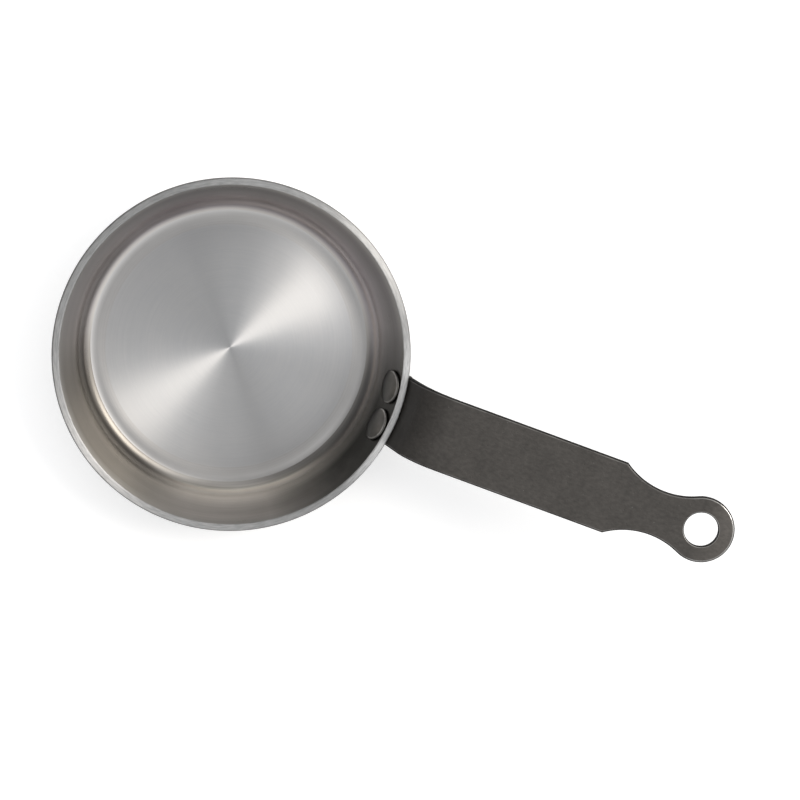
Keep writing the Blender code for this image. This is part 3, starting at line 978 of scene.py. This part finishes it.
tree, given, result = new_tree("form_the_handle", {
    "Foot": VECTOR, "Bend Corner": VECTOR, "Path End": VECTOR, "Bend Radius": FLOAT, "Bend Points": WHOLE,
    "Thickness": FLOAT, "Wrap End": FLOAT, "Flat From": FLOAT, "Coat": MATERIAL,
})
corners = [given["Foot"], given["Bend Corner"], given["Path End"]]
path = rounded_line(tree, corners, given["Bend Radius"], given["Bend Points"])

flat_place = of_point(tree, "Position")
upright = calc(tree, "ABSOLUTE", xyz_of(tree, of_point(tree, "Normal"))["Z"])
strip = keep_as(tree, given["Geometry"], "blank_place", flat_place, "FLOAT_VECTOR")
strip = keep_as(tree, strip, "roll_over_edge", minus(tree, 1.0, upright))

blank_point = xyz_of(tree, flat_place)
station, across, depth = blank_point["X"], blank_point["Y"], times(tree, blank_point["Z"], -1.0)
on_path = add(tree, "GeometryNodeSampleCurve", {"Curves": path, "Length": station}, mode="LENGTH").outputs
spot = xyz_of(tree, on_path["Position"])
along = xyz_of(tree, on_path["Tangent"])
deeper_x = times(tree, along["Z"], depth)
deeper_z = times(tree, along["X"], depth)

fade = from_to(tree, station, given["Wrap End"], given["Flat From"], 1.0, 0.0, smooth=True)
curve = calc(tree, "MAXIMUM", calc(tree, "DIVIDE", fade, spot["X"]), LEAST_CURVE)
radius = calc(tree, "DIVIDE", 1.0, curve)
half_sheet = times(tree, along["Z"], calc(tree, "DIVIDE", given["Thickness"], 2.0))
angle = calc(tree, "DIVIDE", across, plus(tree, radius, half_sheet))
reach = plus(tree, radius, deeper_x)
fall = times(tree, reach, minus(tree, 1.0, calc(tree, "COSINE", angle)))
formed = xyz(
    tree, minus(tree, plus(tree, spot["X"], deeper_x), fall),
    times(tree, reach, calc(tree, "SINE", angle)), minus(tree, spot["Z"], deeper_z),
)
strip = change(tree, "SetPosition", strip, {"Position": formed})
strip = change(tree, "SetShadeSmooth", strip)
strip = change(tree, "SetMaterial", strip, {"Material": given["Coat"]})
feed(tree, change(tree, "RealizeInstances", strip), result)
form_tree = tree
print("forming tree:", len(tree.nodes), "nodes")

# %% [markdown]
# The path's corner is where the flange's line and the grip's line meet. The grip's line runs on
# past the ring, so that every station of the blank finds a place on it.

# %% Form the handle
BEND_POINTS = 120
GRIP_ALONG = Vector((math.cos(GRIP_RISE), math.sin(GRIP_RISE)))
bend_corner = FLANGE_FOOT + (FLANGE_BELOW_RIM + BEND_CORNER_ABOVE_RIM) * SLOPE_UP
path_end = bend_corner + (BEND_CORNER_TO_HOLE + RING_DIAMETER) * GRIP_ALONG
raw = start_object("raw_handle", blank_mesh)
shape_with(raw, form_tree, {
    "Foot": (FLANGE_FOOT.x, 0, FLANGE_FOOT.y), "Bend Corner": (bend_corner.x, 0, bend_corner.y),
    "Path End": (path_end.x, 0, path_end.y), "Bend Radius": BEND_RADIUS, "Bend Points": BEND_POINTS,
    "Thickness": STRIP_THICKNESS, "Wrap End": FLANGE_BELOW_RIM + WRAP_PAST_RIM, "Flat From": BEND_END,
    "Coat": strip_coat,
})
handle = plain_piece("formed_handle", raw)
dress(handle, "handle")
print("handle box in mm:", [[round(value * 1000, 2) for value in handle.bound_box[i]] for i in (0, 6)])

# %% [markdown]
# ## The rivets
#
# A rivet is turned too: a low domed head, a shank, and a smaller and taller tail that the press
# has closed. Its profile is drawn here as points, the turning tree sweeps it, and a second tree
# curves both ends to the wall, leans the rivet square to the wall's slope and swings it to its
# place. The same tree makes both rivets, so they differ in one number only.

# %% Draw the rivet's profile
DOME_FACETS = 12
EDGE_FACETS = 6


def rivet_end(diameter, height, edge):
    """Section of one end above its seat: over the dome, round the edge, to the shank."""
    radius = diameter / 2
    rise = height - edge
    sphere = (radius * radius + rise * rise) / (2 * rise)
    cap = arc(Vector((0, height - sphere)), sphere, math.pi / 2, math.acos(radius / sphere), DOME_FACETS)
    shank = Vector((RIVET_SHANK_DIAMETER / 2, 0))
    edge_arc = rounded_corner(cap[-1], Vector((radius, 0)), shank, RIVET_EDGE_ROUND, EDGE_FACETS)
    return [*cap, *edge_arc, shank]


head = rivet_end(RIVET_HEAD_DIAMETER, RIVET_HEAD_HEIGHT, RIVET_HEAD_EDGE)
tail = rivet_end(RIVET_TAIL_DIAMETER, RIVET_TAIL_HEIGHT, RIVET_TAIL_EDGE)
grip_length = SHEET_THICKNESS + STRIP_THICKNESS + 2 * FIT_CLEARANCE
rivet_points = [(point.x, 0, FIT_CLEARANCE + point.y) for point in head]
rivet_points += [(point.x, 0, -grip_length - point.y) for point in reversed(tail)]
rivet_section = bpy.data.meshes.new("rivet_section")
rivet_section.from_pydata(rivet_points, [(i, i + 1) for i in range(len(rivet_points) - 1)], [])
print("rivet profile:", len(rivet_points), "points")

# %% A tree that seats a rivet
tree, given, result = new_tree("seat_a_rivet", {
    "Facets": WHOLE, "Wall Radius": FLOAT, "Wall Flare": FLOAT, "Azimuth": FLOAT, "Head Radius": FLOAT,
    "Place": VECTOR, "Steel": MATERIAL,
})
piece = change(tree, "Group", given["Geometry"], {"Facets": given["Facets"]}, node_tree=turn_tree)
point = xyz_of(tree, of_point(tree, "Position"))
from_axis, _ = from_z_axis(tree, point)
piece = keep_as(tree, piece, "from_middle", calc(tree, "DIVIDE", from_axis, given["Head Radius"]))
reach = minus(tree, given["Wall Radius"], point["Z"])
angle = calc(tree, "DIVIDE", point["Y"], reach)
seated = xyz(
    tree, point["X"], times(tree, reach, calc(tree, "SINE", angle)),
    minus(tree, given["Wall Radius"], times(tree, reach, calc(tree, "COSINE", angle))),
)
piece = change(tree, "SetPosition", piece, {"Position": seated})
lean = xyz(tree, y=minus(tree, given["Wall Flare"], math.pi / 2))
piece = change(tree, "Transform", piece, {"Rotation": lean, "Translation": given["Place"]})
piece = change(tree, "Transform", piece, {"Rotation": xyz(tree, z=given["Azimuth"])})
piece = change(tree, "SetMaterial", piece, {"Material": given["Steel"]})
feed(tree, change(tree, "RealizeInstances", piece), result)
seat_tree = tree
print("seating tree:", len(tree.nodes), "nodes")

# %% Seat both rivets
RIVET_FACETS = 64
rivet_place = RIM_INNER - RIVET_BELOW_RIM * SLOPE_UP
rivet_azimuth = math.asin((RIVET_HEAD_DIAMETER + HEAD_TO_HEAD_GAP) / 2 / rivet_place.x)
for node, side in (("rivet_left", -1), ("rivet_right", 1)):
    raw = start_object("raw_" + node, rivet_section.copy())
    shape_with(raw, seat_tree, {
        "Facets": RIVET_FACETS, "Wall Radius": rivet_place.x / SLOPE_OUT.x, "Wall Flare": WALL_FLARE,
        "Azimuth": side * rivet_azimuth, "Head Radius": RIVET_HEAD_DIAMETER / 2,
        "Place": (rivet_place.x, 0, rivet_place.y), "Steel": dark_rivet,
    })
    rivet = plain_piece("closed_" + node, raw)
    dress(rivet, node)
    print(node, "box in mm:", [[round(value * 1000, 2) for value in rivet.bound_box[i]] for i in (0, 6)])

# %% [markdown]
# ## Floor, lamps and surroundings
#
# The floor is white. A part of its white is light that only the camera and reflections see, so
# that it looks white without throwing more light on the pan, while the pan's shadow stays.

# %% White floor
FLOOR_SIZE = 6.0
FLOOR_GREY = 0.6
FLOOR_OWN_LIGHT = 0.63

half = FLOOR_SIZE / 2
floor_mesh = bpy.data.meshes.new("studio_floor")
floor_corners = [(-half, -half, 0), (half, -half, 0), (half, half, 0), (-half, half, 0)]
floor_mesh.from_pydata(floor_corners, [], [(0, 1, 2, 3)])
floor = start_object("studio_floor", floor_mesh)


def seen_directly(tree):
    """1 for what the camera, a reflection or glass sees, and 0 for the light that a surface gets."""
    path = add(tree, "ShaderNodeLightPath").outputs
    seen = calc(tree, "MAXIMUM", path["Is Camera Ray"], path["Is Glossy Ray"])
    return calc(tree, "MAXIMUM", seen, path["Is Transmission Ray"])


white_floor, tree, shader = new_material(
    "white_floor", Base_Color=(FLOOR_GREY, FLOOR_GREY, FLOOR_GREY, 1), Roughness=0.9,
    Emission_Color=(1, 1, 1, 1),
)
finish_with(tree, shader, Emission_Strength=times(tree, seen_directly(tree), FLOOR_OWN_LIGHT))
floor_mesh.materials.append(white_floor)
print("floor:", FLOOR_SIZE, "m square")

# %% [markdown]
# The surroundings are a white room whose ceiling is a little darker, as a studio's is. Polished
# steel shows what is around it, so the room is most of what gives the wall its tone. Soft-edged
# round patches make it uneven: two dark sides, a dark cap, a bright strip and a bright side. The
# light that falls on the floor and the coat comes softly from one high window beyond the
# picture's top edge. The camera itself sees plain white beyond the floor.

# %% Surroundings
world = bpy.data.worlds.new("studio")
bpy.context.scene.world = world
world.use_nodes = True
world.cycles.sampling_method = "NONE"
tree = world.node_tree
toward = add(tree, "ShaderNodeTexCoord").outputs["Generated"]
up = xyz_of(tree, toward)["Z"]


def patch_of_room(azimuth, elevation, inner, outer, middle, beyond):
    """One value in the middle of a round patch of the room, and another beyond its soft edge."""
    near = dot(tree, toward, direction(azimuth, elevation))
    edges = [math.cos(math.radians(angle)) for angle in (outer, inner)]
    return from_to(tree, near, *edges, beyond, middle, smooth=True)


walls = from_to(tree, up, 0.35, 0.82, 0.3, 1.35)
ceiling = from_to(tree, up, 0.85, 0.98, 0.0, -0.75)
dark_side = patch_of_room(172, 50, 22, 42, 0.35, 1.0)
low_side = patch_of_room(45, 10, 12, 38, 0.35, 1.0)
dark_cap = patch_of_room(115, 68, 4, 14, 0.6, 1.0)
bright_strip = patch_of_room(112, 45, 4, 17, 0.65, 0.0)
bright_side = patch_of_room(2, 50, 8, 38, 0.4, 0.0)
shown = times(tree, plus(tree, walls, ceiling, bright_strip, bright_side), dark_side, low_side, dark_cap)
to_camera = add(tree, "ShaderNodeLightPath").outputs["Is Camera Ray"]
from_window = dot(tree, toward, direction(108, 58))
soft_light = from_to(tree, from_window, 0.5, 1.0, 0.05, 1.75)
room = calc(tree, "MAXIMUM", shown, to_camera)
background = tree.nodes["Background"].inputs
feed(tree, from_to(tree, seen_directly(tree), 0.0, 1.0, soft_light, room), background["Strength"])
feed(tree, two_colours(tree, to_camera, (0.99, 1.0, 1.015), (1, 1, 1)), background["Color"])
print("surroundings:", world.name)

# %% [markdown]
# One large softbox to the right of the picture gives the fans on the floor of the bowl, and a
# long, low one on the same side draws thin bright lines on the edges that face it.

# %% Lamps
LAMP_COLOUR = (1.0, 0.95, 0.89)
LAMP_DISTANCE = 1.2
LAMP_AIM = Vector((0.04, 0, 0.02))


def softbox(name, azimuth, elevation, width, height, watts):
    """A rectangular lamp that looks at the pan from a direction given in degrees."""
    toward = direction(azimuth, elevation)
    lamp = bpy.data.lights.new(name, "AREA")
    lamp.shape = "RECTANGLE"
    lamp.size, lamp.size_y = width, height
    lamp.energy = watts
    lamp.color = LAMP_COLOUR
    item = start_object(name, lamp)
    item.location = LAMP_AIM + toward * LAMP_DISTANCE
    item.rotation_euler = toward.to_track_quat("Z", "Y").to_euler()


softbox("key_softbox", azimuth=41.5, elevation=52, width=0.42, height=0.42, watts=5.6)
softbox("edge_softbox", azimuth=20, elevation=22, width=0.9, height=0.25, watts=0.6)
print("lamps:", len(bpy.data.lights))

# %% [markdown]
# ## Finish
#
# The colours are shown with the Standard view transform. The dressed pan may not leave the box
# of the imported model.

# %% Finish
bpy.context.scene.view_settings.view_transform = "Standard"
